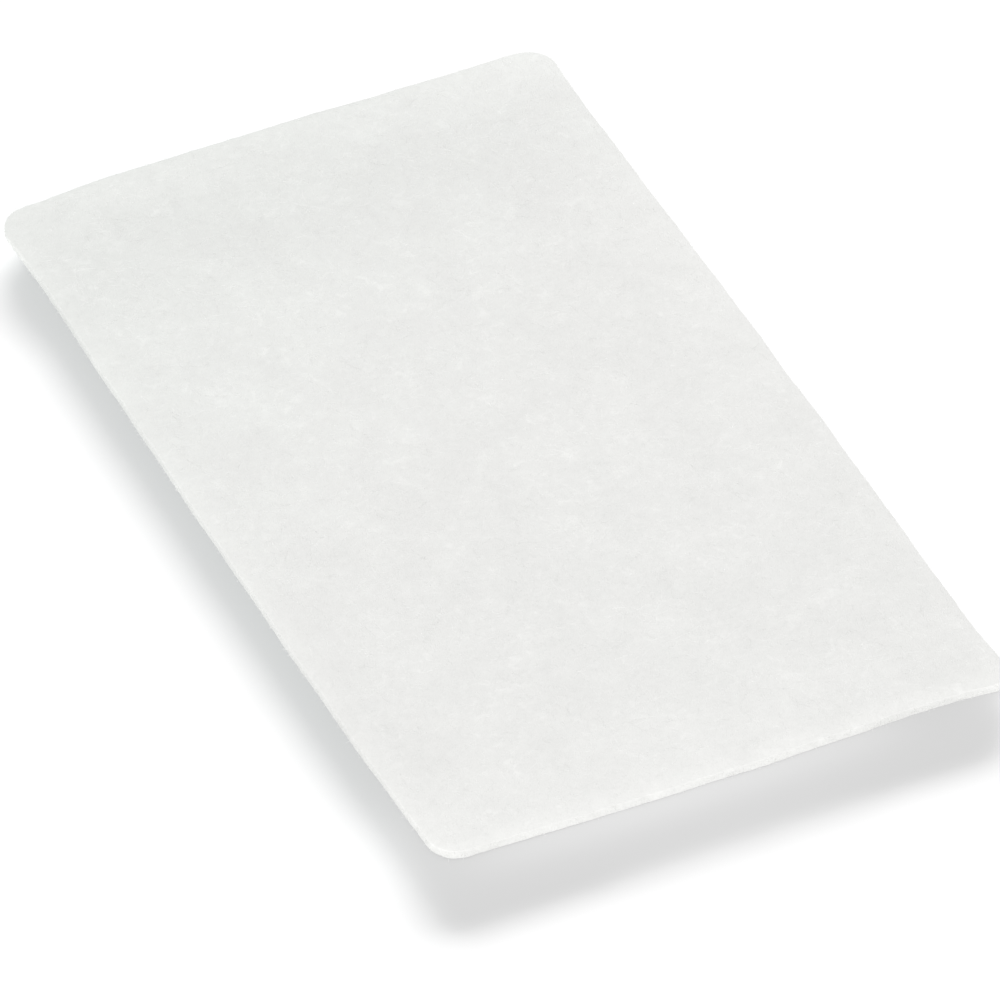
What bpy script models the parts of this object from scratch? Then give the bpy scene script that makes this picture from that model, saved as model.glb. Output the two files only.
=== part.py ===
"""Disposable fine-fibre filter pad for the air inlet of a bedside breathing machine.

One soft felted sheet, stamped out with a cutting die. It lies flat: X is its width, Y its
length, Z its thickness, and the origin is the middle of the underside. Units are metres.
"""

import math

import bmesh
import bpy
from mathutils import Matrix, Vector

# Overall size of the sheet
PAD_WIDTH = 0.036
PAD_LENGTH = 0.062
PAD_THICKNESS = 0.0008

# Outline: the middle of a long side and of a short end stands out past its corners by its bow
CORNER_RADIUS = 0.0022
SIDE_BOW = 0.00022
END_BOW = 0.0002

# Cut edge: the die squeezes a band along the rim, and the fibres round the two arrises
PINCH_WIDTH = 0.0012
PINCH_DEPTH = 0.00012
TOP_ROUNDING = 0.00025
UNDERSIDE_ROUNDING = 0.0001

# Fineness of the mesh
OUTLINE_STEPS = 8
PINCH_STEPS = 3
TOP_ROUNDING_STEPS = 4
UNDERSIDE_ROUNDING_STEPS = 2
WELD_DISTANCE = 0.000001
SMOOTH_ANGLE = math.radians(35)

# Share of the wall that a rounding may take, so that the two never meet
MOST_TOP_SHARE = 0.6
MOST_UNDERSIDE_SHARE = 0.3

# Felt finish
FELT_COLOUR = (0.835, 0.84, 0.82, 1.0)
FELT_ROUGHNESS = 0.95

# Handles of a cubic curve: their length along a quarter circle, as a share of its radius, and
# how far they stand out from a bowed side's chord, as a share of its bow
QUARTER_ARC = 4 / 3 * (math.sqrt(2) - 1)
LIFT = 4 / 3

OBJECT_NAME = "cpap_filter_pad"
PAD_NAME = "filter_pad"


def clear_scene():
    """Remove whatever the file was opened with."""
    for old in list(bpy.data.objects):
        bpy.data.objects.remove(old, do_unlink=True)


def felt_material():
    """Matt off-white felt with the faintest green cast."""
    material = bpy.data.materials.new("white_felt")
    material.use_nodes = True
    shader = material.node_tree.nodes["Principled BSDF"]
    shader.inputs["Base Color"].default_value = FELT_COLOUR
    shader.inputs["Roughness"].default_value = FELT_ROUGHNESS
    shader.inputs["Metallic"].default_value = 0.0
    return material


def side_ends(quarter):
    """Start and end of one side, counted counter-clockwise from +X, and its handles' lift."""
    is_long_side = quarter % 2 == 0
    across, along = (PAD_WIDTH, PAD_LENGTH) if is_long_side else (PAD_LENGTH, PAD_WIDTH)
    bow, next_bow = (SIDE_BOW, END_BOW) if is_long_side else (END_BOW, SIDE_BOW)
    reach = across / 2 - bow
    half = along / 2 - next_bow - CORNER_RADIUS
    turn = Matrix.Rotation(quarter * math.pi / 2, 2)
    return turn @ Vector((reach, -half)), turn @ Vector((reach, half)), turn @ Vector((bow * LIFT, 0))


def outline_knots():
    """The outline's knots as (before, knot, after): two for each side, where it meets the corners.

    A corner's handles carry the bowed side's direction on, so that the outline has no kink.
    """
    knots = []
    arc = CORNER_RADIUS * QUARTER_ARC
    for quarter in range(4):
        start, end, lift = side_ends(quarter)
        third = (end - start) / 3
        leave = third + lift
        arrive = third - lift
        knots.append((start - leave.normalized() * arc, start, start + leave))
        knots.append((end - arrive, end, end + arrive.normalized() * arc))
    return knots


def stamped_sheet():
    """The sheet as it leaves the die with sharp arrises: a filled flat curve with thickness."""
    curve = bpy.data.curves.new("stamped_outline", "CURVE")
    curve.dimensions = "2D"
    curve.fill_mode = "BOTH"
    curve.extrude = PAD_THICKNESS / 2
    curve.resolution_u = OUTLINE_STEPS
    knots = outline_knots()
    spline = curve.splines.new("BEZIER")
    spline.bezier_points.add(len(knots) - 1)
    spline.use_cyclic_u = True
    for point, (before, knot, after) in zip(spline.bezier_points, knots):
        point.handle_left_type = "FREE"
        point.handle_right_type = "FREE"
        point.handle_left = before.to_3d()
        point.co = knot.to_3d()
        point.handle_right = after.to_3d()
    return bpy.data.objects.new("stamped_outline", curve)


def lies_flat(face):
    """Whether all of a face's corners are at one height."""
    heights = [vert.co.z for vert in face.verts]
    return max(heights) - min(heights) < WELD_DISTANCE


def merge_caps(mesh):
    """Weld the curve's loose caps to its wall and make each cap one face."""
    bmesh.ops.remove_doubles(mesh, verts=mesh.verts[:], dist=WELD_DISTANCE)
    in_caps = [edge for edge in mesh.edges if all(map(lies_flat, edge.link_faces))]
    bmesh.ops.dissolve_edges(mesh, edges=in_caps, use_verts=False)
    bmesh.ops.recalc_face_normals(mesh, faces=mesh.faces[:])


def pinch_rim(mesh):
    """Slope the top down to the rim along a smooth curve."""
    top = max(mesh.faces, key=lambda face: face.normal.z)
    for vert in top.verts:
        vert.co.z -= PINCH_DEPTH
    band = PINCH_WIDTH / PINCH_STEPS
    for step in range(1, PINCH_STEPS + 1):
        bmesh.ops.inset_region(mesh, faces=[top], thickness=band, use_even_offset=True)
        rise = math.sin(math.pi / 2 * step / PINCH_STEPS)
        for vert in top.verts:
            vert.co.z = PAD_THICKNESS - PINCH_DEPTH * (1 - rise)


def round_arris(mesh, edges, radius, steps):
    """Round one closed loop of sharp edges."""
    bmesh.ops.bevel(
        mesh,
        geom=edges,
        offset=radius,
        offset_type="OFFSET",
        segments=steps,
        profile=0.5,
        affect="EDGES",
        clamp_overlap=True,
        material=-1,
    )


def arris_loops(mesh):
    """The closed loops of edges at the wall's top and at its foot."""
    underside = min(mesh.faces, key=lambda face: face.normal.z)
    foot = underside.edges[:]
    walls = {face for edge in foot for face in edge.link_faces} - {underside}
    ends = [edge for edge in mesh.edges if len(walls.intersection(edge.link_faces)) == 1]
    top = [edge for edge in ends if underside not in edge.link_faces]
    return top, foot


def build_pad(material, collection):
    """The filter pad, from its outline to its rounded rim."""
    sheet = stamped_sheet()
    collection.objects.link(sheet)
    sheet.location.z = PAD_THICKNESS / 2
    bpy.context.view_layer.update()
    evaluated = sheet.evaluated_get(bpy.context.evaluated_depsgraph_get())
    data = bpy.data.meshes.new_from_object(evaluated)
    data.transform(sheet.matrix_world)
    bpy.data.objects.remove(sheet, do_unlink=True)

    mesh = bmesh.new()
    mesh.from_mesh(data)
    merge_caps(mesh)
    pinch_rim(mesh)
    top, foot = arris_loops(mesh)
    wall = PAD_THICKNESS - PINCH_DEPTH
    round_arris(mesh, foot, min(UNDERSIDE_ROUNDING, wall * MOST_UNDERSIDE_SHARE), UNDERSIDE_ROUNDING_STEPS)
    round_arris(mesh, top, min(TOP_ROUNDING, wall * MOST_TOP_SHARE), TOP_ROUNDING_STEPS)
    mesh.to_mesh(data)
    mesh.free()

    data.name = PAD_NAME
    data.materials.clear()
    data.materials.append(material)
    data.shade_smooth()
    data.set_sharp_from_angle(angle=SMOOTH_ANGLE)
    pad = bpy.data.objects.new(PAD_NAME, data)
    collection.objects.link(pad)
    return pad


def main():
    """Build the object in a collection of its own."""
    clear_scene()
    collection = bpy.data.collections.new(OBJECT_NAME)
    bpy.context.scene.collection.children.link(collection)
    build_pad(felt_material(), collection)


main()
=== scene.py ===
"""Looks of a disposable fine-fibre filter pad: a thin sheet of white felt on a white table.

The felt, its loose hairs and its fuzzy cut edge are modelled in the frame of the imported
model, in metres, and stand for its one plain solid.
"""

import logging
import math
from collections.abc import Iterator, Sequence
from dataclasses import dataclass, field
from enum import Enum

import bmesh
import bpy
import numpy as np
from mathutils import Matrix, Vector, noise

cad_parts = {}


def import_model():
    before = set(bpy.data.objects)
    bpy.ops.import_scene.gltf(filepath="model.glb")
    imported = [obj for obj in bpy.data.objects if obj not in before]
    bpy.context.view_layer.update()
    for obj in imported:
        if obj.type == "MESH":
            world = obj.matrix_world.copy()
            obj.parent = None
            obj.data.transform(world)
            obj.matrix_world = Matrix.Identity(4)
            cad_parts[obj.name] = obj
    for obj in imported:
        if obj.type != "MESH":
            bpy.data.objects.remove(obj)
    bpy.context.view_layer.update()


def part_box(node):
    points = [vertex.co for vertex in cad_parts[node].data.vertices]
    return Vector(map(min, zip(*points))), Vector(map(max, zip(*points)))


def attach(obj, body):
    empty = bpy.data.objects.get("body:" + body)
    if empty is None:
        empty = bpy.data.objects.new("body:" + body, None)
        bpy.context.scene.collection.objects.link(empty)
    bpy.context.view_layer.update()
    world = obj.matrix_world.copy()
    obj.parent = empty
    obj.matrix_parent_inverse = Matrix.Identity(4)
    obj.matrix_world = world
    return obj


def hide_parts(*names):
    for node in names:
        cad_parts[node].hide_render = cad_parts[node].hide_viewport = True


LOG = logging.getLogger("filter_pad")

MM = 0.001
SOLID = "filter_pad"
BODY = "root"
EDGE_DEPTH = "edge_depth"
MEAN_NOISE = 0.5
WHITE = (1.0, 1.0, 1.0, 1.0)
PHOTO_AZIMUTH = -25.28


class Face(Enum):
    """The two broad faces of the sheet, as the side that they look to."""

    UPPER = 1
    UNDER = -1


class Graph:
    """A shader node tree that is filled one node at a time."""

    def __init__(self, tree: bpy.types.NodeTree) -> None:
        """Keep the tree.

        Args:
            tree: The node tree of a material, a world or a group.
        """
        self.tree = tree

    def add(self, kind: str, values: dict | None = None, **settings: object) -> bpy.types.Node:
        """Add a node.

        Args:
            kind: The node's type name without its ShaderNode prefix.
            values: Socket name or number to a constant, or to the socket that feeds it.
            settings: Properties of the node itself.

        Returns:
            The new node.
        """
        prefix = "" if kind.startswith("NodeGroup") else "ShaderNode"
        node = self.tree.nodes.new(prefix + kind)
        for name, value in settings.items():
            setattr(node, name, value)
        for name, value in (values or {}).items():
            if isinstance(value, bpy.types.NodeSocket):
                self.tree.links.new(value, node.inputs[name])
            else:
                node.inputs[name].default_value = value
        return node

    def math(self, operation: str, *values: object) -> bpy.types.NodeSocket:
        """Combine numbers.

        Args:
            operation: The Math node's operation.
            values: Its constants or the sockets that feed it, in order.

        Returns:
            The result's socket.
        """
        return self.add("Math", dict(enumerate(values)), operation=operation).outputs[0]

    def ease(
        self, value: object, start: object, end: object, low: object, high: object
    ) -> bpy.types.NodeSocket:
        """Ease from one number to another over a range.

        Args:
            value: What is read.
            start: Where the change begins.
            end: Where it ends.
            low: The result before start.
            high: The result past end.

        Returns:
            The eased number's socket.
        """
        node = self.add(
            "MapRange",
            {"Value": value, "From Min": start, "From Max": end, "To Min": low, "To Max": high},
            interpolation_type="SMOOTHSTEP",
        )
        return node.outputs["Result"]


def new_material(name: str) -> tuple[bpy.types.Material, Graph, bpy.types.Node]:
    """Start a material.

    Args:
        name: The material's name.

    Returns:
        The material, its node tree and its shader.
    """
    material = bpy.data.materials.new(name)
    material.use_nodes = True
    graph = Graph(material.node_tree)
    return material, graph, graph.tree.nodes["Principled BSDF"]


@dataclass(frozen=True)
class Outline:
    """The sheet's plan: a rectangle with round corners and sides that bow out a little."""

    half_width: float
    half_length: float
    corner: float = 2.2 * MM
    side_bow: float = 0.22 * MM
    end_bow: float = 0.20 * MM

    def reach(self, x: float, y: float) -> tuple[float, float]:
        """Give how far the bowed sides stand from the middle.

        Args:
            x: Place across the sheet.
            y: Place along the sheet.

        Returns:
            The half width and the half length there.
        """
        across = min(abs(x) / (self.half_width - self.corner), 1.0)
        along = min(abs(y) / (self.half_length - self.corner), 1.0)
        return self.half_width - self.side_bow * along**2, self.half_length - self.end_bow * across**2

    def place(self, u: float, v: float) -> Vector:
        """Fit a point of a square into the outline.

        Args:
            u: Place across the square, from -1 to 1.
            v: Place along the square, from -1 to 1.

        Returns:
            The point on the sheet. The square's corners go to the middle of the round ones.
        """
        half_width, half_length = self.reach(u * self.half_width, v * self.half_length)
        straight = Vector((half_width - self.corner, half_length - self.corner))
        size = Vector((abs(u) * half_width, abs(v) * half_length))
        past = (size - straight) / self.corner
        if past.x > 0 and past.y > 0:
            turned = Vector(
                (past.x * math.sqrt(1 - past.y**2 / 2), past.y * math.sqrt(1 - past.x**2 / 2))
            )
            size = straight + turned * self.corner
        return Vector((math.copysign(size.x, u), math.copysign(size.y, v), 0.0))

    def depth(self, x: float, y: float) -> float:
        """Give how far inside the outline a place is.

        Args:
            x: Place across the sheet.
            y: Place along the sheet.

        Returns:
            The distance to the nearest edge, negative outside.
        """
        half_width, half_length = self.reach(x, y)
        past = Vector((abs(x) - half_width + self.corner, abs(y) - half_length + self.corner))
        outside = Vector((max(past.x, 0.0), max(past.y, 0.0))).length
        return self.corner - outside - min(max(past.x, past.y), 0.0)

    def outward(self, x: float, y: float) -> Vector:
        """Give the way out of the sheet from a place near its edge.

        Args:
            x: Place across the sheet.
            y: Place along the sheet.

        Returns:
            The unit vector away from the sheet, in its plane.
        """
        step = 0.01 * MM
        slope = Vector((self.depth(x + step, y), self.depth(x, y + step), 0.0))
        slope -= Vector((1.0, 1.0, 0.0)) * self.depth(x, y)
        return -slope.normalized()


@dataclass(frozen=True)
class Unevenness:
    """One scale of the felt's random relief."""

    size: float
    height: float
    offset: float

    def at(self, x: float, y: float, z: float = 0.0) -> float:
        """Give the relief's height at a place.

        Args:
            x: Place across the sheet.
            y: Place along the sheet.
            z: Height, for relief that changes through the thickness.

        Returns:
            A smooth random height, about as often below zero as above it.
        """
        place = Vector((x, y, z)) / self.size + Vector((self.offset, 0.0, 0.0))
        return self.height * noise.noise(place)


@dataclass(frozen=True)
class CornerSpot:
    """The neighbourhood of one corner, where the soft sheet lies a little off the even shape."""

    side: tuple[int, int]
    reach: float

    def share(self, x: float, y: float, outline: Outline) -> float:
        """Give how much of the corner's change a place takes part in.

        Args:
            x: Place across the sheet.
            y: Place along the sheet.
            outline: The sheet's plan.

        Returns:
            1 at the corner, eased to nothing at the end of its reach.
        """
        corner = Vector((self.side[0] * outline.half_width, self.side[1] * outline.half_length))
        near = max(1 - (Vector((x, y)) - corner).length / self.reach, 0.0)
        return near**2 * (3 - 2 * near)


@dataclass(frozen=True)
class CornerPull:
    """How far one corner is stretched in the sheet's plane."""

    spot: CornerSpot
    across: float
    along: float


@dataclass(frozen=True)
class CornerCurl:
    """How far the two faces stand up at one corner."""

    spot: CornerSpot
    upper: float
    under: float


@dataclass(frozen=True)
class RimSlope:
    """A band along the rim where the die pressed the felt down."""

    width: float
    depth: float

    def drop(self, inside: float) -> float:
        """Give how far the upper face is pressed down.

        Args:
            inside: The distance inside the edge.

        Returns:
            The whole depth at the edge, and nothing past the band.
        """
        share = min(max(inside, 0.0) / self.width, 1.0)
        return self.depth * (1 - math.sin(share * math.pi / 2))


@dataclass(frozen=True)
class FeltForm:
    """The shape of the felt sheet as it lies: its plan, its section and its unevenness."""

    outline: Outline
    thickness: float
    pinch: RimSlope = RimSlope(1.2 * MM, 0.12 * MM)
    shoulder: RimSlope = RimSlope(0.6 * MM, 0.09 * MM)
    rim_relief: float = 0.35
    wavy_edge: Unevenness = Unevenness(4.5 * MM, 0.10 * MM, 90.0)
    pulls: tuple[CornerPull, ...] = (
        CornerPull(CornerSpot((-1, 1), 8.0 * MM), across=-0.52 * MM, along=-0.48 * MM),
        CornerPull(CornerSpot((-1, 1), 3.0 * MM), across=0.20 * MM, along=0.20 * MM),
        CornerPull(CornerSpot((1, 1), 8.0 * MM), across=0.18 * MM, along=0.27 * MM),
        CornerPull(CornerSpot((1, 1), 4.0 * MM), across=0.22 * MM, along=0.0),
        CornerPull(CornerSpot((1, -1), 6.0 * MM), across=0.25 * MM, along=-0.12 * MM),
        CornerPull(CornerSpot((1, -1), 3.5 * MM), across=0.20 * MM, along=-0.50 * MM),
        CornerPull(CornerSpot((1, -1), 2.2 * MM), across=0.40 * MM, along=-0.50 * MM),
        CornerPull(CornerSpot((-1, -1), 13.0 * MM), across=0.12 * MM, along=0.12 * MM),
        CornerPull(CornerSpot((-1, -1), 3.0 * MM), across=-0.22 * MM, along=-0.24 * MM),
    )
    curls: tuple[CornerCurl, ...] = (
        CornerCurl(CornerSpot((-1, 1), 7.5 * MM), upper=0.10 * MM, under=0.52 * MM),
        CornerCurl(CornerSpot((-1, -1), 13.0 * MM), upper=0.05 * MM, under=0.06 * MM),
    )
    upper: tuple[Unevenness, ...] = (
        Unevenness(3.1 * MM, 0.030 * MM, 3.7),
        Unevenness(1.3 * MM, 0.018 * MM, 11.2),
        Unevenness(0.6 * MM, 0.012 * MM, 27.9),
    )
    under: tuple[Unevenness, ...] = (
        Unevenness(2.4 * MM, 0.014 * MM, 41.3),
        Unevenness(0.7 * MM, 0.008 * MM, 57.1),
    )

    def drift(self, x: float, y: float) -> Vector:
        """Give how far a place of the even sheet moves sideways as the sheet is handled.

        Args:
            x: Place across the sheet.
            y: Place along the sheet.

        Returns:
            The move, from the pulls at the corners and the waves along the edge.
        """
        moved = Vector((0.0, 0.0, 0.0))
        for pull in self.pulls:
            moved += Vector((pull.across, pull.along, 0.0)) * pull.spot.share(x, y, self.outline)
        rim = max(1 - self.outline.depth(x, y) / self.outline.corner, 0.0)
        if rim > 0:
            moved += self.outline.outward(x, y) * self.wavy_edge.at(x, y) * min(rim, 1.0)
        return moved

    def surface(self, x: float, y: float, face: Face) -> float:
        """Give the height of a face.

        Args:
            x: Place across the sheet.
            y: Place along the sheet.
            face: Which of the two faces.

        Returns:
            Its height above the table.
        """
        if face is Face.UNDER:
            lift = sum(curl.under * curl.spot.share(x, y, self.outline) for curl in self.curls)
            return lift + abs(sum(scale.at(x, y) for scale in self.under))
        lift = sum(curl.upper * curl.spot.share(x, y, self.outline) for curl in self.curls)
        inside = self.outline.depth(x, y)
        pressed = self.pinch.drop(inside) + self.shoulder.drop(inside)
        ease = min(max(inside, 0.0) / self.pinch.width, 1.0)
        relief = sum(scale.at(x, y) for scale in self.upper)
        relief *= self.rim_relief + (1 - self.rim_relief) * ease
        return self.thickness + lift - pressed + relief


@dataclass
class FeltSheet:
    """The stamped felt sheet: one closed mesh with a rounded, slightly ragged rim."""

    form: FeltForm
    cell: float = 0.25 * MM
    top_rounding: float = 0.20 * MM
    under_rounding: float = 0.10 * MM
    rounding_steps: int = 3
    wall_cuts: int = 3
    ragged: Unevenness = Unevenness(0.45 * MM, 0.035 * MM, 71.0)
    name: str = "felt_sheet"

    def cells(self, half: float) -> int:
        """Count the grid's cells along one side of the sheet, from half its length."""
        return round(2 * half / self.cell)

    def plan(self) -> bmesh.types.BMesh:
        """Make the flat sheet.

        Returns:
            A grid with the outline's round corners.
        """
        outline = self.form.outline
        sheet = bmesh.new()
        bmesh.ops.create_grid(
            sheet,
            x_segments=self.cells(outline.half_width),
            y_segments=self.cells(outline.half_length),
            size=1.0,
        )
        for vert in sheet.verts:
            vert.co = outline.place(vert.co.x, vert.co.y)
        return sheet

    def thicken(self, sheet: bmesh.types.BMesh) -> None:
        """Give the flat sheet its thickness and round its two arrises.

        Args:
            sheet: The flat grid, which becomes one closed shell.
        """
        under_rim = [edge for edge in sheet.edges if edge.is_boundary]
        raised = bmesh.ops.extrude_face_region(sheet, geom=sheet.faces[:], use_keep_orig=True)
        upper = [item for item in raised["geom"] if isinstance(item, bmesh.types.BMVert)]
        bmesh.ops.translate(sheet, verts=upper, vec=(0.0, 0.0, self.form.thickness))
        bmesh.ops.recalc_face_normals(sheet, faces=sheet.faces[:])
        walls = {face for edge in under_rim for face in edge.link_faces if abs(face.normal.z) < 0.5}
        wall_edges = {edge for face in walls for edge in face.edges}
        upright = {edge for edge in wall_edges if edge.verts[0].co.z != edge.verts[1].co.z}
        ends = [edge for edge in sheet.edges if len(walls.intersection(edge.link_faces)) == 1]
        upper_rim = [edge for edge in ends if edge.verts[0].co.z > 0]
        bmesh.ops.subdivide_edges(
            sheet,
            edges=[edge for edge in sheet.edges if edge in upright],
            cuts=self.wall_cuts,
            use_grid_fill=True,
        )
        for rim, radius in ((upper_rim, self.top_rounding), (under_rim, self.under_rounding)):
            bmesh.ops.bevel(
                sheet,
                geom=rim,
                offset=radius,
                offset_type="OFFSET",
                segments=self.rounding_steps,
                profile=0.5,
                affect="EDGES",
                clamp_overlap=True,
                material=-1,
            )

    def settle(self, sheet: bmesh.types.BMesh) -> None:
        """Lay the even sheet down with its pinched rim, relief, ragged edge and pulled corners.

        Args:
            sheet: The closed shell of even thickness.
        """
        outline = self.form.outline
        edge_depth = sheet.verts.layers.float.new(EDGE_DEPTH)
        for vert in sheet.verts:
            x, y, z = vert.co
            vert[edge_depth] = max(outline.depth(x, y), 0.0)
            share = z / self.form.thickness
            low = self.form.surface(x, y, Face.UNDER)
            high = self.form.surface(x, y, Face.UPPER)
            near_edge = max(1 - outline.depth(x, y) / (2 * self.top_rounding), 0.0)
            if near_edge > 0:
                out = outline.outward(x, y) * self.ragged.at(x, y, z) * near_edge
                x, y = x + out.x, y + out.y
            vert.co = Vector((x, y, low + (high - low) * share)) + self.form.drift(x, y)

    def build(self) -> bpy.types.Object:
        """Make the sheet.

        Returns:
            The finished object, with smooth shading.
        """
        sheet = self.plan()
        self.thicken(sheet)
        self.settle(sheet)
        return finished_object(self.name, sheet)


@dataclass
class Strand:
    """One hair: the points that it runs through and its width along them."""

    points: np.ndarray
    widths: np.ndarray


@dataclass
class HairPiece:
    """Many fine hairs in one piece, each a tube with four sides and closed ends."""

    name: str
    form: FeltForm
    count: int
    seed: int
    radius: float = 0.009 * MM
    joints: int = 5
    thinnest: float = 0.7
    thickest: float = 1.3
    tip: float = 0.45
    weld: float = 0.01

    def strands(self) -> Iterator[Strand]:
        """Give the hairs one by one."""
        raise NotImplementedError

    def taper(self, rng: np.random.Generator) -> np.ndarray:
        """Give a hair's width at each of its joints, as a share of the usual one.

        Args:
            rng: The piece's own random numbers.

        Returns:
            The shares, narrower towards both tips.
        """
        along = np.linspace(0.0, 1.0, self.joints)
        shape = self.tip + (1 - self.tip) * np.sin(along * math.pi) ** 0.5
        return rng.uniform(self.thinnest, self.thickest) * shape

    def build(self) -> bpy.types.Object:
        """Make the piece.

        Returns:
            The finished mesh object.
        """
        curve = bpy.data.curves.new(self.name, "CURVE")
        curve.dimensions = "3D"
        curve.bevel_depth = self.radius
        curve.bevel_resolution = 0
        curve.use_fill_caps = True
        for strand in self.strands():
            spline = curve.splines.new("POLY")
            spline.points.add(len(strand.points) - 1)
            laid = strand.points + [self.form.drift(x, y) for x, y, _ in strand.points]
            rows = np.column_stack([laid, np.ones(len(laid))])
            spline.points.foreach_set("co", rows.ravel())
            spline.points.foreach_set("radius", strand.widths)
        holder = bpy.data.objects.new(self.name + "_lines", curve)
        bpy.context.scene.collection.objects.link(holder)
        laid_out = holder.evaluated_get(bpy.context.evaluated_depsgraph_get())
        tubes = bpy.data.meshes.new_from_object(laid_out)
        bpy.data.objects.remove(holder, do_unlink=True)
        bpy.data.curves.remove(curve)
        hairs = bmesh.new()
        hairs.from_mesh(tubes)
        bpy.data.meshes.remove(tubes)
        bmesh.ops.remove_doubles(hairs, verts=hairs.verts[:], dist=self.radius * self.weld)
        return finished_object(self.name, hairs)


@dataclass
class SurfaceHairs(HairPiece):
    """Loose hairs that lie on a broad face of the felt."""

    face: Face = Face.UPPER
    shortest: float = 0.6 * MM
    longest: float = 2.6 * MM
    length_spread: tuple[float, float] = (1.3, 2.6)
    bend: float = 0.9
    rise: float = 0.02 * MM
    rise_spread: tuple[float, float] = (1.2, 3.0)
    sunk: float = 0.2
    margin: float = 0.25 * MM

    def strands(self) -> Iterator[Strand]:
        """Give the hairs one by one.

        Yields:
            A gently wandering line that leaves the felt in its middle.
        """
        rng = np.random.default_rng(self.seed)
        outline = self.form.outline
        along = np.linspace(0.0, 1.0, self.joints)
        made = 0
        while made < self.count:
            x = rng.uniform(-outline.half_width, outline.half_width)
            y = rng.uniform(-outline.half_length, outline.half_length)
            length = self.shortest + (self.longest - self.shortest) * rng.beta(*self.length_spread)
            heading = rng.uniform(0, 2 * math.pi) + np.cumsum(rng.normal(0, self.bend / 2, self.joints))
            steps = np.column_stack([np.cos(heading), np.sin(heading)]) * length / (self.joints - 1)
            places = np.array([x, y]) + np.cumsum(steps, axis=0)
            stand = self.rise * rng.beta(*self.rise_spread) * np.sin(along * math.pi)
            if min(outline.depth(*place) for place in places) < self.margin:
                continue
            heights = np.array([self.form.surface(*place, self.face) for place in places])
            heights += self.face.value * (stand - self.radius * self.sunk)
            made += 1
            yield Strand(np.column_stack([places, heights]), self.taper(rng))


@dataclass
class EdgeFuzz(HairPiece):
    """Short cut fibres that stand out of the rim."""

    shortest: float = 0.08 * MM
    longest: float = 0.34 * MM
    length_spread: tuple[float, float] = (1.2, 2.4)
    root: float = 0.05 * MM
    levels: tuple[float, float] = (0.06, 0.92)
    splay: float = 0.7
    sway: float = 0.35
    rise: float = 0.3
    just_inside: float = 0.9999
    joints: int = 4

    def strands(self) -> Iterator[Strand]:
        """Give the fibres one by one.

        Yields:
            A short curved line that starts inside the rim and ends outside it.
        """
        rng = np.random.default_rng(self.seed)
        outline = self.form.outline
        along = np.linspace(0.0, 1.0, self.joints)[:, None]
        around = 2 * (outline.half_width + outline.half_length)
        for _ in range(self.count):
            far = rng.uniform(0, around)
            across = far < 2 * outline.half_width
            run = rng.uniform(-1, 1)
            side = rng.choice([-1.0, 1.0])
            spot = outline.place(run, side) if across else outline.place(side, run)
            out = outline.outward(spot.x * self.just_inside, spot.y * self.just_inside)
            turn = rng.normal(0, self.splay)
            way = np.array([out.x, out.y]) * math.cos(turn) + np.array([-out.y, out.x]) * math.sin(turn)
            sideways = np.array([-way[1], way[0]]) * rng.normal(0, self.sway)
            length = self.shortest + (self.longest - self.shortest) * rng.beta(*self.length_spread)
            places = np.array([spot.x, spot.y]) + way * (along * length - self.root)
            places = places + sideways * along**2 * length
            low = self.form.surface(spot.x, spot.y, Face.UNDER)
            high = self.form.surface(spot.x, spot.y, Face.UPPER)
            level = low + (high - low) * rng.uniform(*self.levels)
            heights = level + rng.normal(0, self.rise) * along[:, 0] ** 1.5 * length
            heights = np.maximum(heights, self.radius)
            yield Strand(np.column_stack([places, heights]), self.taper(rng))


def finished_object(name: str, mesh: bmesh.types.BMesh) -> bpy.types.Object:
    """Turn a bmesh into an object at the origin, with smooth shading.

    Args:
        name: The piece's name.
        mesh: Its shape, which is freed.

    Returns:
        The object, linked to the scene.
    """
    data = bpy.data.meshes.new(name)
    mesh.to_mesh(data)
    mesh.free()
    data.shade_smooth()
    piece = bpy.data.objects.new(name, data)
    bpy.context.scene.collection.objects.link(piece)
    return piece


def new_group(name: str, outputs: Sequence[str]) -> bpy.types.NodeTree:
    """Start a shader node group.

    Args:
        name: The group's name.
        outputs: Its number outputs.

    Returns:
        The group's node tree, with a vector input named Vector, its outputs and no nodes.
    """
    tree = bpy.data.node_groups.new(name, "ShaderNodeTree")
    tree.interface.new_socket("Vector", in_out="INPUT", socket_type="NodeSocketVector")
    for label in outputs:
        tree.interface.new_socket(label, in_out="OUTPUT", socket_type="NodeSocketFloat")
    return tree


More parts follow.
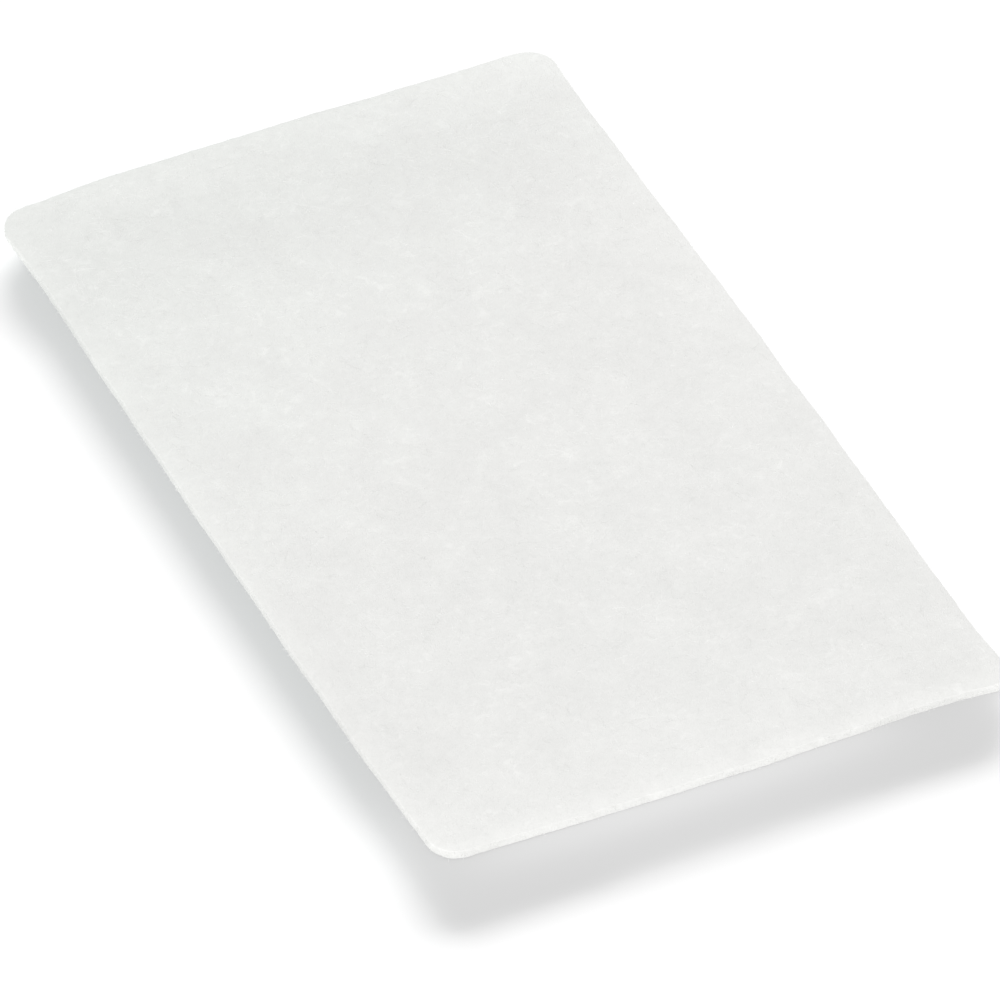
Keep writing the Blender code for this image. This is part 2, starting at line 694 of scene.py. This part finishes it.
@dataclass(frozen=True)
class MattedFibres:
    """Node group: a web of fine crossing fibres in several directions."""

    directions: int = 5
    fibre: float = 0.055 * MM
    run: float = 1.1 * MM
    wander: float = 0.35 * MM
    wander_size: float = 1.4 * MM
    ridge: float = 0.11
    first_turn: float = 0.37
    layer_shift: float = 7.3 * MM
    name: str = "matted_fibres"

    def layer(
        self, graph: Graph, place: bpy.types.NodeSocket, turn: float, shift: float
    ) -> bpy.types.NodeSocket:
        """Add the fibres that run one way.

        Args:
            graph: The group's node tree.
            place: The coordinates, in metres.
            turn: The fibres' direction, in radians.
            shift: An offset that makes this layer unlike the others.

        Returns:
            A mask that is 1 on the fibres' ridges.
        """
        turned = graph.add(
            "Mapping",
            {"Vector": place, "Rotation": (0.0, 0.0, turn), "Location": (shift, shift, 0.0)},
        )
        drawn = graph.add(
            "Mapping",
            {"Vector": turned.outputs[0], "Scale": (1 / self.run, 1 / self.fibre / 2, 1 / self.run)},
        )
        grain = graph.add(
            "TexNoise",
            {"Vector": drawn.outputs[0], "Scale": 1.0, "Detail": 1.5, "Roughness": 0.6},
        )
        off_ridge = graph.math("ABSOLUTE", graph.math("SUBTRACT", grain.outputs[0], MEAN_NOISE))
        return graph.ease(off_ridge, 0.0, self.ridge, 1.0, 0.0)

    def group(self) -> bpy.types.NodeTree:
        """Build the group.

        Returns:
            The node tree. Web is 1 on the upper fibres, and Height is their relief.
        """
        tree = new_group(self.name, ("Web", "Height"))
        graph = Graph(tree)
        start = graph.add("NodeGroupInput")
        wander = graph.add(
            "TexNoise",
            {"Vector": start.outputs["Vector"], "Scale": 1 / self.wander_size, "Detail": 2.0},
        )
        centred = graph.add(
            "VectorMath", {0: wander.outputs["Color"], 1: (MEAN_NOISE,) * 3}, operation="SUBTRACT"
        )
        moved = graph.add(
            "VectorMath",
            {0: centred.outputs[0], 1: (self.wander,) * 3, 2: start.outputs["Vector"]},
            operation="MULTIPLY_ADD",
        )
        web = 0.0
        height = 0.0
        for number in range(self.directions):
            turn = math.pi * (number + self.first_turn) / self.directions
            ridge = self.layer(graph, moved.outputs[0], turn, (number + 1) * self.layer_shift)
            web = graph.math("MAXIMUM", web, ridge)
            height = graph.math("ADD", height, ridge)
        end = graph.add("NodeGroupOutput")
        tree.links.new(web, end.inputs["Web"])
        tree.links.new(graph.math("DIVIDE", height, self.directions), end.inputs["Height"])
        return tree


@dataclass(frozen=True)
class DensityClouds:
    """Node group: where the felt is denser and so whiter, in clouds of all sizes."""

    size: float = 5.0 * MM
    octaves: float = 4.0
    fineness: float = 0.9
    name: str = "density_clouds"

    def group(self) -> bpy.types.NodeTree:
        """Build the group.

        Returns:
            The node tree. Density is about MEAN_NOISE on average.
        """
        tree = new_group(self.name, ("Density",))
        graph = Graph(tree)
        start = graph.add("NodeGroupInput")
        cloud = graph.add(
            "TexNoise",
            {
                "Vector": start.outputs["Vector"],
                "Scale": 1 / self.size,
                "Detail": self.octaves,
                "Roughness": self.fineness,
            },
        )
        end = graph.add("NodeGroupOutput")
        tree.links.new(cloud.outputs[0], end.inputs["Density"])
        return tree


@dataclass(frozen=True)
class FibreTufts:
    """Node group: small light tufts where fibres bunch at the surface."""

    size: float = 0.75 * MM
    bunch_size: float = 2.4 * MM
    tuft_range: tuple[float, float] = (0.50, 0.80)
    bunch_range: tuple[float, float] = (0.38, 0.66)
    fewest: float = 0.2
    name: str = "fibre_tufts"

    def group(self) -> bpy.types.NodeTree:
        """Build the group.

        Returns:
            The node tree. Tufts is 1 on the brightest tufts and 0 between them.
        """
        tree = new_group(self.name, ("Tufts",))
        graph = Graph(tree)
        start = graph.add("NodeGroupInput")
        tuft = graph.add(
            "TexNoise",
            {
                "Vector": start.outputs["Vector"],
                "Scale": 1 / self.size,
                "Detail": 2.0,
                "Distortion": 0.7,
            },
        )
        bunch = graph.add(
            "TexNoise",
            {"Vector": start.outputs["Vector"], "Scale": 1 / self.bunch_size, "Detail": 1.0},
        )
        light = graph.ease(tuft.outputs[0], *self.tuft_range, 0.0, 1.0)
        many = graph.ease(bunch.outputs[0], *self.bunch_range, self.fewest, 1.0)
        end = graph.add("NodeGroupOutput")
        tree.links.new(graph.math("MULTIPLY", light, many), end.inputs["Tufts"])
        return tree


@dataclass(frozen=True)
class Swing:
    """How strongly a mask lightens the felt above its middle value and darkens it below."""

    middle: float
    strength: float


@dataclass(frozen=True)
class FeltFinish:
    """Matt white felt with the faintest green cast, whiter where it is denser.

    near_band is counted inwards from the near end, painted_shade_band and far_band from the far end,
    and right_band from the right side. left_band and corner_band are places across the sheet, and
    tint_band is one along it that leans with X and that the clouds blur. Light and shade are also
    painted into the colour: painted light at the near end's left, at the far right corner, along the
    right side, along the rim and on the cut wall, and painted shade in a band near the far end.
    """

    fibres: bpy.types.NodeTree
    clouds: bpy.types.NodeTree
    tufts: bpy.types.NodeTree
    outline: Outline
    near_colour: tuple[float, float, float, float] = (0.8385, 0.8385, 0.8230, 1.0)
    far_colour: tuple[float, float, float, float] = (0.830, 0.8415, 0.8205, 1.0)
    tint_lean: float = -0.8
    tint_blur: float = 40 * MM
    tint_band: tuple[float, float] = (-4 * MM, 38 * MM)
    cloud: Swing = Swing(MEAN_NOISE, 0.14)
    fibre: Swing = Swing(0.6, 0.025)
    tuft: Swing = Swing(0.15, 0.065)
    # Painted light and shade in the felt's colour: lighter at the near end's left, darker in a band
    # near the far end, lighter at the far right corner and along the right side.
    near_painted_light: float = 0.030
    near_band: float = 10 * MM
    left_band: tuple[float, float] = (2 * MM, 16 * MM)
    far_painted_shade: float = -0.026
    painted_shade_band: tuple[float, float] = (17 * MM, 8 * MM)
    corner_painted_light: float = 0.034
    corner_band: tuple[float, float] = (2 * MM, 11 * MM)
    far_band: tuple[float, float] = (6 * MM, 1 * MM)
    right_painted_light: float = 0.024
    right_band: tuple[float, float] = (8 * MM, 1 * MM)
    # Painted light along the rim and on the cut wall, which lightens them in the felt's colour.
    rim_painted_light: float = 0.022
    rim_band: float = 1.8 * MM
    wall_painted_light: float = 0.035
    wall_band: float = 0.04 * MM
    roughness: float = 0.92
    specular: float = 0.15
    sheen: float = 0.05
    sheen_roughness: float = 0.6
    bump_height: float = 0.02 * MM
    name: str = "white_felt_fibres"

    def painted_light_across_sheet(self, graph: Graph, axes: bpy.types.Node) -> bpy.types.NodeSocket:
        """Add the light and shade that are painted into the felt's colour over the whole sheet.

        Args:
            graph: The material's node tree.
            axes: The object coordinates, one by one.

        Returns:
            A share of the brightness: painted light above zero at the near end's left, the far right
            corner and the right side, and painted shade below it in a band near the far end.
        """
        # Painted light and shade, eased in by place over the sheet.
        x, y = axes.outputs["X"], axes.outputs["Y"]
        side, end = self.outline.half_width, self.outline.half_length
        left = graph.ease(x, *self.left_band, self.near_painted_light, 0.0)
        near = graph.ease(y, -end, -end + self.near_band, left, 0.0)
        into = graph.ease(y, end - self.painted_shade_band[0], end - self.painted_shade_band[1], 0.0, self.far_painted_shade)
        whiter = self.corner_painted_light - self.far_painted_shade
        corner = graph.ease(x, *self.corner_band, -self.far_painted_shade, whiter)
        out_of = graph.ease(y, end - self.far_band[0], end - self.far_band[1], 0.0, corner)
        along = graph.ease(y, -end / 2, end / 2, 0.0, self.right_painted_light)
        right = graph.ease(x, side - self.right_band[0], side - self.right_band[1], 0.0, along)
        return graph.math("ADD", graph.math("ADD", near, right), graph.math("ADD", into, out_of))

    def tint(
        self, graph: Graph, axes: bpy.types.Node, density: bpy.types.NodeSocket
    ) -> bpy.types.NodeSocket:
        """Add the faint green cast towards the far left corner.

        Args:
            graph: The material's node tree.
            axes: The object coordinates, one by one.
            density: The clouds, which blur the change of tint.

        Returns:
            The felt's colour before any light or dark.
        """
        off_mean = graph.math("SUBTRACT", density, MEAN_NOISE)
        blur = graph.math("MULTIPLY_ADD", off_mean, self.tint_blur, axes.outputs["Y"])
        lean = graph.math("MULTIPLY_ADD", axes.outputs["X"], self.tint_lean, blur)
        far = graph.ease(lean, *self.tint_band, 0.0, 1.0)
        mix = graph.add("Mix", {0: far, 6: self.near_colour, 7: self.far_colour}, data_type="RGBA")
        return mix.outputs[2]

    def painted_rim_light(self, graph: Graph) -> bpy.types.NodeSocket:
        """Add the painted light along the rim and on the cut wall.

        Args:
            graph: The material's node tree.

        Returns:
            A share of the brightness, nothing inside the rim's band and most on the cut wall.
        """
        depth = graph.add("Attribute", attribute_name=EDGE_DEPTH).outputs["Fac"]
        band = graph.ease(depth, 0.0, self.rim_band, self.rim_painted_light, 0.0)
        wall = graph.ease(depth, 0.0, self.wall_band, self.wall_painted_light, 0.0)
        return graph.math("ADD", band, wall)

    def material(self) -> bpy.types.Material:
        """Build the material.

        Returns:
            A material that reads object coordinates and the depth inside the edge.
        """
        material, graph, shader = new_material(self.name)
        place = graph.add("TexCoord").outputs["Object"]
        fibres = graph.add("Group", {"Vector": place}, node_tree=self.fibres)
        clouds = graph.add("Group", {"Vector": place}, node_tree=self.clouds)
        tufts = graph.add("Group", {"Vector": place}, node_tree=self.tufts)
        axes = graph.add("SeparateXYZ", {"Vector": place})
        # Painted light and shade over the sheet and round the rim are added to the felt's brightness
        # here.
        share = graph.math("ADD", self.painted_light_across_sheet(graph, axes), self.painted_rim_light(graph))
        share = graph.math("ADD", share, 1.0)
        for mask, swing in (
            (clouds.outputs["Density"], self.cloud),
            (fibres.outputs["Web"], self.fibre),
            (tufts.outputs["Tufts"], self.tuft),
        ):
            off_middle = graph.math("SUBTRACT", mask, swing.middle)
            share = graph.math("MULTIPLY_ADD", off_middle, swing.strength, share)
        tint = self.tint(graph, axes, clouds.outputs["Density"])
        tinted = graph.add("VectorMath", {0: tint, "Scale": share}, operation="SCALE")
        bump = graph.add(
            "Bump",
            {"Height": fibres.outputs["Height"], "Distance": self.bump_height, "Strength": 1.0},
        )
        graph.tree.links.new(tinted.outputs[0], shader.inputs["Base Color"])
        graph.tree.links.new(bump.outputs[0], shader.inputs["Normal"])
        shader.inputs["Roughness"].default_value = self.roughness
        shader.inputs["Specular IOR Level"].default_value = self.specular
        shader.inputs["Sheen Weight"].default_value = self.sheen
        shader.inputs["Sheen Roughness"].default_value = self.sheen_roughness
        return material


@dataclass(frozen=True)
class HairFinish:
    """Fine white hair, a little paler or greyer from place to place."""

    clouds: bpy.types.NodeTree
    colour: tuple[float, float, float] = (0.945, 0.948, 0.935)
    change: float = 0.3
    roughness: float = 0.6
    specular: float = 0.25
    name: str = "white_hair"

    def material(self) -> bpy.types.Material:
        """Build the material.

        Returns:
            A material that reads object coordinates.
        """
        material, graph, shader = new_material(self.name)
        place = graph.add("TexCoord").outputs["Object"]
        clouds = graph.add("Group", {"Vector": place}, node_tree=self.clouds)
        off_mean = graph.math("SUBTRACT", clouds.outputs["Density"], MEAN_NOISE)
        share = graph.math("ADD", graph.math("MULTIPLY", off_mean, self.change), 1.0)
        tinted = graph.add("VectorMath", {0: self.colour, "Scale": share}, operation="SCALE")
        graph.tree.links.new(tinted.outputs[0], shader.inputs["Base Color"])
        shader.inputs["Roughness"].default_value = self.roughness
        shader.inputs["Specular IOR Level"].default_value = self.specular
        return material


@dataclass(frozen=True)
class TableFinish:
    """Smooth matt white table top, a trace cooler beside the pad's left side.

    The tint comes in over inner_band, counted leftwards from a line through the middle that leans
    to the right, and goes out over outer_band, which is counted in X. It is a cool cast painted into
    the glow where the pad's cast shadow falls beside its left side.
    """

    albedo: float = 0.20
    glow: float = 0.50
    shadow_tint: tuple[float, float, float, float] = (0.972, 1.0, 0.996, 1.0)
    lean: float = 0.35
    inner_band: tuple[float, float] = (4 * MM, 14 * MM)
    outer_band: tuple[float, float] = (-23 * MM, -18 * MM)
    name: str = "white_table"

    def material(self) -> bpy.types.Material:
        """Build the material.

        Returns:
            A plain matt material with an even glow, like a table lit through from below.
        """
        material, graph, shader = new_material(self.name)
        axes = graph.add("SeparateXYZ", {"Vector": graph.add("TexCoord").outputs["Object"]})
        tilted = graph.math("MULTIPLY", axes.outputs["Y"], self.lean)
        leftward = graph.math("SUBTRACT", tilted, axes.outputs["X"])
        beside = graph.ease(leftward, *self.inner_band, 0.0, 1.0)
        close = graph.ease(axes.outputs["X"], *self.outer_band, 0.0, beside)
        # Painted cool cast in the glow, where the pad's shadow falls beside its left side.
        mix = graph.add("Mix", {0: close, 6: WHITE, 7: self.shadow_tint}, data_type="RGBA")
        graph.tree.links.new(mix.outputs[2], shader.inputs["Emission Color"])
        shader.inputs["Base Color"].default_value = (self.albedo, self.albedo, self.albedo, 1.0)
        shader.inputs["Roughness"].default_value = 1.0
        shader.inputs["Specular IOR Level"].default_value = 0.0
        shader.inputs["Emission Strength"].default_value = self.glow
        return material


@dataclass
class FilterPad:
    """The whole filter pad: felt sheet, hairs on both faces and fuzz round the cut edge."""

    form: FeltForm
    pieces: list[bpy.types.Object] = field(default_factory=list)

    def build(self) -> None:
        """Make every piece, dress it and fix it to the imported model."""
        sheet = FeltSheet(self.form).build()
        hair_pieces = (
            SurfaceHairs("upper_long_hairs", self.form, count=4200, seed=11),
            SurfaceHairs(
                "upper_short_hairs",
                self.form,
                count=6800,
                seed=23,
                joints=4,
                shortest=0.25 * MM,
                longest=1.0 * MM,
                rise=0.01 * MM,
            ),
            SurfaceHairs(
                "under_hairs",
                self.form,
                count=3000,
                seed=37,
                face=Face.UNDER,
                rise=0.0,
            ),
            EdgeFuzz("edge_fuzz", self.form, count=4200, seed=53),
        )
        hairs = [piece.build() for piece in hair_pieces]
        self.pieces = [sheet, *hairs]
        self.dress(sheet, hairs)
        for piece in self.pieces:
            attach(piece, BODY)
        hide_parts(SOLID)

    def dress(self, sheet: bpy.types.Object, hairs: Sequence[bpy.types.Object]) -> None:
        """Give the pieces their materials.

        Args:
            sheet: The felt sheet.
            hairs: The pieces made of hairs.
        """
        clouds = DensityClouds().group()
        fibres = MattedFibres().group()
        tufts = FibreTufts().group()
        felt = FeltFinish(fibres, clouds, tufts, self.form.outline).material()
        hair = HairFinish(clouds).material()
        sheet.data.materials.append(felt)
        for piece in hairs:
            piece.data.materials.append(hair)


def away(azimuth: float, elevation: float) -> Vector:
    """Give a direction away from the pad.

    Args:
        azimuth: Angle round the pad in degrees, where 0 is towards -Y and 90 towards +X.
        elevation: Angle above the table, in degrees.

    Returns:
        The unit vector.
    """
    turn, rise = math.radians(azimuth), math.radians(elevation)
    flat = math.cos(rise)
    return Vector((math.sin(turn) * flat, -math.cos(turn) * flat, math.sin(rise)))


class Reach(Enum):
    """What a light falls on.

    PAD is the pad alone, PAD_ONLY the pad with nothing but itself in the light's way, and TABLE
    the table with nothing but the felt sheet in the way.
    """

    PAD = "pad"
    PAD_ONLY = "pad_only"
    TABLE = "table"


@dataclass(frozen=True)
class Panel:
    """An oval panel of soft light, with its size in metres and its power in watts."""

    name: str
    reach: Reach
    size: tuple[float, float]
    power: float

    def stand(self, outline: Outline) -> tuple[Vector, Vector]:
        """Give where the panel's middle is and which way its back looks."""
        raise NotImplementedError


@dataclass(frozen=True)
class FarPanel(Panel):
    """A panel some way off, which faces the pad from an azimuth and an elevation in degrees."""

    azimuth: float
    elevation: float
    distance: float

    def stand(self, outline: Outline) -> tuple[Vector, Vector]:
        """Give the panel's place.

        Args:
            outline: The sheet's plan, which a far panel doesn't follow.

        Returns:
            Where its middle is and which way its back looks.
        """
        back = away(self.azimuth, self.elevation)
        return back * self.distance, back


@dataclass(frozen=True)
class ClosePanel(Panel):
    """A small panel close over the table, which looks down on it beside the near end.

    Its offset is counted from that end's middle, or from its left or right corner where side is
    -1 or 1.
    """

    side: int
    offset: tuple[float, float, float]

    def stand(self, outline: Outline) -> tuple[Vector, Vector]:
        """Give the panel's place.

        Args:
            outline: The sheet's plan.

        Returns:
            Where its middle is and which way its back looks.
        """
        near_end = Vector((self.side * outline.half_width, -outline.half_length, 0.0))
        return near_end + Vector(self.offset), Vector((0.0, 0.0, 1.0))


@dataclass
class Studio:
    """A white table, soft white light from all round and a long lens."""

    pad: FilterPad
    azimuth: float = PHOTO_AZIMUTH
    elevation: float = 41.68
    distance: float = 0.6930
    aim_right: float = 0.48 * MM
    aim_up: float = -3.10 * MM
    lens: float = 432.0
    sensor: float = 36.0
    table_half: float = 1.5
    table_drop: float = 0.03 * MM
    sky: float = 0.891
    seen_sky: float = 1.1
    panels: tuple[Panel, ...] = (
        FarPanel("front_key", Reach.PAD, (1.2, 1.2), 16.0, -35.0, 32.0, 3.0),
        FarPanel("table_bounce", Reach.PAD_ONLY, (1.2, 0.5), 9.0, -50.0, -15.0, 3.0),
        FarPanel("back_fill", Reach.PAD, (1.2, 1.2), 8.0, 125.0, 30.0, 3.0),
        FarPanel("low_light", Reach.TABLE, (9.0, 0.8), 42000.0, 180.0 + PHOTO_AZIMUTH, 6.5, 20.0),
        FarPanel("low_glow", Reach.TABLE, (16.0, 1.4), 28000.0, 180.0 + PHOTO_AZIMUTH, 6.5, 20.0),
        ClosePanel(
            "rim_glow",
            Reach.TABLE,
            (28.0 * MM, 1.6 * MM),
            1.6e-4,
            side=0,
            offset=(-3.0 * MM, -0.3 * MM, 1.9 * MM),
        ),
        ClosePanel(
            "left_glow",
            Reach.TABLE,
            (1.6 * MM, 8.0 * MM),
            4.4e-5,
            side=-1,
            offset=(-2.1 * MM, 2.4 * MM, 2.2 * MM),
        ),
        ClosePanel(
            "near_glow",
            Reach.TABLE,
            (17.0 * MM, 0.8 * MM),
            3.0e-5,
            side=0,
            offset=(-1.5 * MM, -4.9 * MM, 1.0 * MM),
        ),
        ClosePanel(
            "right_glow",
            Reach.TABLE,
            (1.2 * MM, 1.2 * MM),
            3.8e-5,
            side=1,
            offset=(-0.2 * MM, -1.4 * MM, 1.3 * MM),
        ),
    )

    def camera(self) -> None:
        """Place the photograph's camera."""
        data = bpy.data.cameras.new("photo_camera")
        data.lens = self.lens
        data.sensor_width = self.sensor
        data.clip_start = self.distance * 0.1
        data.clip_end = self.table_half * 4
        back = away(self.azimuth, self.elevation)
        turn = (-back).to_track_quat("-Z", "Y")
        camera = bpy.data.objects.new("photo_camera", data)
        camera.rotation_mode = "QUATERNION"
        camera.rotation_quaternion = turn
        camera.location = back * self.distance + turn @ Vector((self.aim_right, self.aim_up, 0.0))
        bpy.context.scene.collection.objects.link(camera)
        bpy.context.scene.camera = camera

    def table(self) -> bpy.types.Object:
        """Lay the table top under the pad.

        Returns:
            The table.
        """
        top = bmesh.new()
        bmesh.ops.create_grid(top, x_segments=2, y_segments=2, size=self.table_half)
        bmesh.ops.translate(top, verts=top.verts[:], vec=(0.0, 0.0, -self.table_drop))
        table = finished_object("white_table", top)
        table.data.materials.append(TableFinish().material())
        return table

    def hang(self, panel: Panel, table: bpy.types.Object) -> None:
        """Hang a panel of light where the camera doesn't see it.

        Args:
            panel: The panel.
            table: The table top.
        """
        place, back = panel.stand(self.pad.form.outline)
        data = bpy.data.lights.new(panel.name, "AREA")
        data.shape = "ELLIPSE"
        data.size, data.size_y = panel.size
        data.energy = panel.power
        light = bpy.data.objects.new(panel.name, data)
        light.rotation_mode = "QUATERNION"
        light.rotation_quaternion = (-back).to_track_quat("-Z", "Y")
        light.location = place
        light.visible_camera = False
        bpy.context.scene.collection.objects.link(light)
        pieces = self.pad.pieces
        on_table = panel.reach is Reach.TABLE
        lit = [table] if on_table else pieces
        light.light_linking.receiver_collection = self.together(panel.name + "_lights", lit)
        if panel.reach is not Reach.PAD:
            blockers = pieces[:1] if on_table else pieces
            shadows = self.together(panel.name + "_shadows", blockers)
            light.light_linking.blocker_collection = shadows

    def together(self, name: str, things: Sequence[bpy.types.Object]) -> bpy.types.Collection:
        """Collect what a light reaches, or what blocks it.

        Args:
            name: The collection's name.
            things: Its objects.

        Returns:
            The collection, which isn't linked to the scene.
        """
        collection = bpy.data.collections.new(name)
        for thing in things:
            collection.objects.link(thing)
        return collection

    def surroundings(self) -> None:
        """Fill the room with even white light, and show it white."""
        world = bpy.data.worlds.new("white_room")
        world.use_nodes = True
        graph = Graph(world.node_tree)
        light = graph.tree.nodes["Background"]
        light.inputs["Color"].default_value = WHITE
        light.inputs["Strength"].default_value = self.sky
        seen = graph.add("Background", {"Color": WHITE, "Strength": self.seen_sky})
        path = graph.add("LightPath")
        mix = graph.add(
            "MixShader", {0: path.outputs["Is Camera Ray"], 1: light.outputs[0], 2: seen.outputs[0]}
        )
        graph.tree.links.new(mix.outputs[0], graph.tree.nodes["World Output"].inputs["Surface"])
        bpy.context.scene.world = world

    def build(self) -> None:
        """Set up the table, the lights, the tones and the camera."""
        self.camera()
        table = self.table()
        self.surroundings()
        for panel in self.panels:
            self.hang(panel, table)
        view = bpy.context.scene.view_settings
        view.view_transform = "Standard"
        view.look = "None"
        view.exposure = 0.0
        view.gamma = 1.0


def main() -> None:
    """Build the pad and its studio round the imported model."""
    logging.basicConfig(level=logging.INFO, format="%(name)s: %(message)s")
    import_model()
    low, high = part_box(SOLID)
    outline = Outline(half_width=(high[0] - low[0]) / 2, half_length=(high[1] - low[1]) / 2)
    form = FeltForm(outline, thickness=high[2] - low[2])
    pad = FilterPad(form)
    pad.build()
    for piece in pad.pieces:
        piece.data.calc_loop_triangles()
        LOG.info("%s: %d triangles", piece.name, len(piece.data.loop_triangles))
    Studio(pad).build()


if __name__ == "__main__":
    main()
